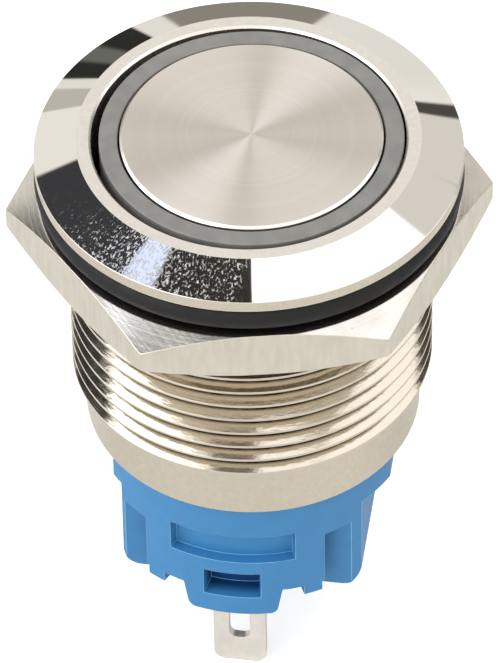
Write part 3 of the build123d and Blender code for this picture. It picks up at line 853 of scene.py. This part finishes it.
def studio():
    """A soft pale surround with lighter and darker panels, placed by the way each one lies.

    A panel's share is 1 where both its angles lie inside its half widths, and falls to 0 over its
    soft edge. Azimuth runs from +Y towards +X, elevation up from the horizon, both in degrees.
    """
    world = bpy.data.worlds.new("studio")
    bpy.context.scene.world = world
    world.use_nodes = True
    tree = world.node_tree
    tree.nodes.clear()
    ray = wire(tree, "ShaderNodeTexCoord").outputs["Generated"]
    parts = wire(tree, "ShaderNodeSeparateXYZ", {0: ray}).outputs
    azimuth = maths(tree, "DEGREES", maths(tree, "ARCTAN2", parts["X"], parts["Y"]))
    elevation = maths(tree, "DEGREES", maths(tree, "ARCSINE", parts["Z"]))

    def inside(value, low, high, soft, wraps=False):
        away = maths(tree, "SUBTRACT", value, (low + high) / 2)
        if wraps:
            away = maths(tree, "WRAP", away, 180.0, -180.0)
        half = (high - low) / 2
        return between(tree, maths(tree, "ABSOLUTE", away), half, half + soft, 1.0, 0.0)

    # (azimuth from, to, elevation from, to, soft edge, colour, gain); a later one covers an earlier
    panels = (
        (-180, 180, 17, 90, 6, "#FCFAF7", 1.0),            # the room above
        (108, 202, 14, 61, 5, "#FFFEFB", 1.25),            # wall behind the camera
        (-190, -90.5, 62, 87, 1.5, "#3A3836", 0.95),       # overhead gap between the lights
        (168, 216, 60, 78, 1.5, "#8F887C", 0.8),           # ceiling behind the camera
        (-144, -106, 50, 65.5, 1.5, "#F8FAFF", 2.2),       # left softbox's upper corner, in two steps
        (-144, -122, 60, 72.5, 1.5, "#F8FAFF", 2.2),
        (-160, -84, 4, 59.5, 1.5, "#F8FAFF", 2.8),         # left softbox
        (-84, -66, 4, 22, 2, "#FFFFFF", 1.5),              # its foot
        (-83, -51.5, 25, 64, 0.8, "#3A3A3E", 1.2),         # dark gap at the left
        (-91, -82.5, 60.5, 69.5, 0.6, "#D2DFFF", 1.45),    # strip of a window
        (51, 106, 16, 90, 1, "#FAFBFF", 1.6),              # right softbox
        (104, 168, 64, 90, 1, "#FAFBFF", 1.6),             # its upper end
        (21, 51, 14, 52, 1, "#EFEBE8", 0.93),              # wall at the right rear
        (38, 52.5, 8, 36, 0.8, "#5A5248", 0.7),            # stand at the right
        (20, 22.3, 16.8, 21.2, 0.7, "#5B5853", 0.8),       # its edge
        (-30.5, -19.5, 0, 10.5, 0.4, "#3A3B3A", 0.7),      # dark object behind at the left
        (-29, -21.5, 4.4, 6.6, 0.8, "#7C7E7A", 0.8),       # light on it
        (-37.2, -32.8, 12, 17.5, 0.5, "#C9C6C2", 1.0),     # paler patch of wall beside it
        (-180, 180, -30, -2.2, 0.25, "#8B8781", 1.12),     # the table's far edge
    )
    colour = linear("#F8F6F3", 0.95)
    for start, end, low, high, soft, code, gain in panels:
        share = inside(elevation, low, high, soft)
        if end - start < 360:
            side = inside(azimuth, start, end, soft, wraps=True)
            share = maths(tree, "MULTIPLY", share, side)
        colour = blend(tree, share, colour, linear(code, gain))
    seen = wire(tree, "ShaderNodeLightPath").outputs["Is Camera Ray"]
    plain = blend(tree, seen, colour, linear("#FFFFFF"))
    background = wire(tree, "ShaderNodeBackground", {"Color": plain, "Strength": 1.0})
    wire(tree, "ShaderNodeOutputWorld", {"Surface": background.outputs[0]})


def camera():
    """The photograph's camera: its place, its turn about its own line of sight, and its lens."""
    side, height, roll = (math.radians(v) for v in (CAMERA_SIDE, CAMERA_HEIGHT, CAMERA_ROLL))
    forward = Vector((-math.sin(side) * math.cos(height), math.cos(side) * math.cos(height),
                      -math.sin(height)))
    level = Vector((math.cos(side), math.sin(side), 0.0))
    upright = level.cross(forward)
    right = math.cos(roll) * level + math.sin(roll) * upright
    up = -math.sin(roll) * level + math.cos(roll) * upright
    data = bpy.data.cameras.new("camera")
    data.sensor_width = SENSOR
    data.lens = CAMERA_FOCUS * SENSOR / FRAME_LONG_SIDE
    data.clip_start, data.clip_end = CLIP_NEAR, CLIP_FAR
    seen_from = bpy.data.objects.new("camera", data)
    bpy.context.scene.collection.objects.link(seen_from)
    turn = Matrix((right, up, -forward)).transposed().to_4x4()
    turn.translation = (Vector(CAMERA_TARGET) - CAMERA_DISTANCE * forward) * MM
    seen_from.matrix_world = turn
    bpy.context.scene.camera = seen_from


floor()
studio()
camera()
bpy.context.scene.view_settings.view_transform = "Standard"
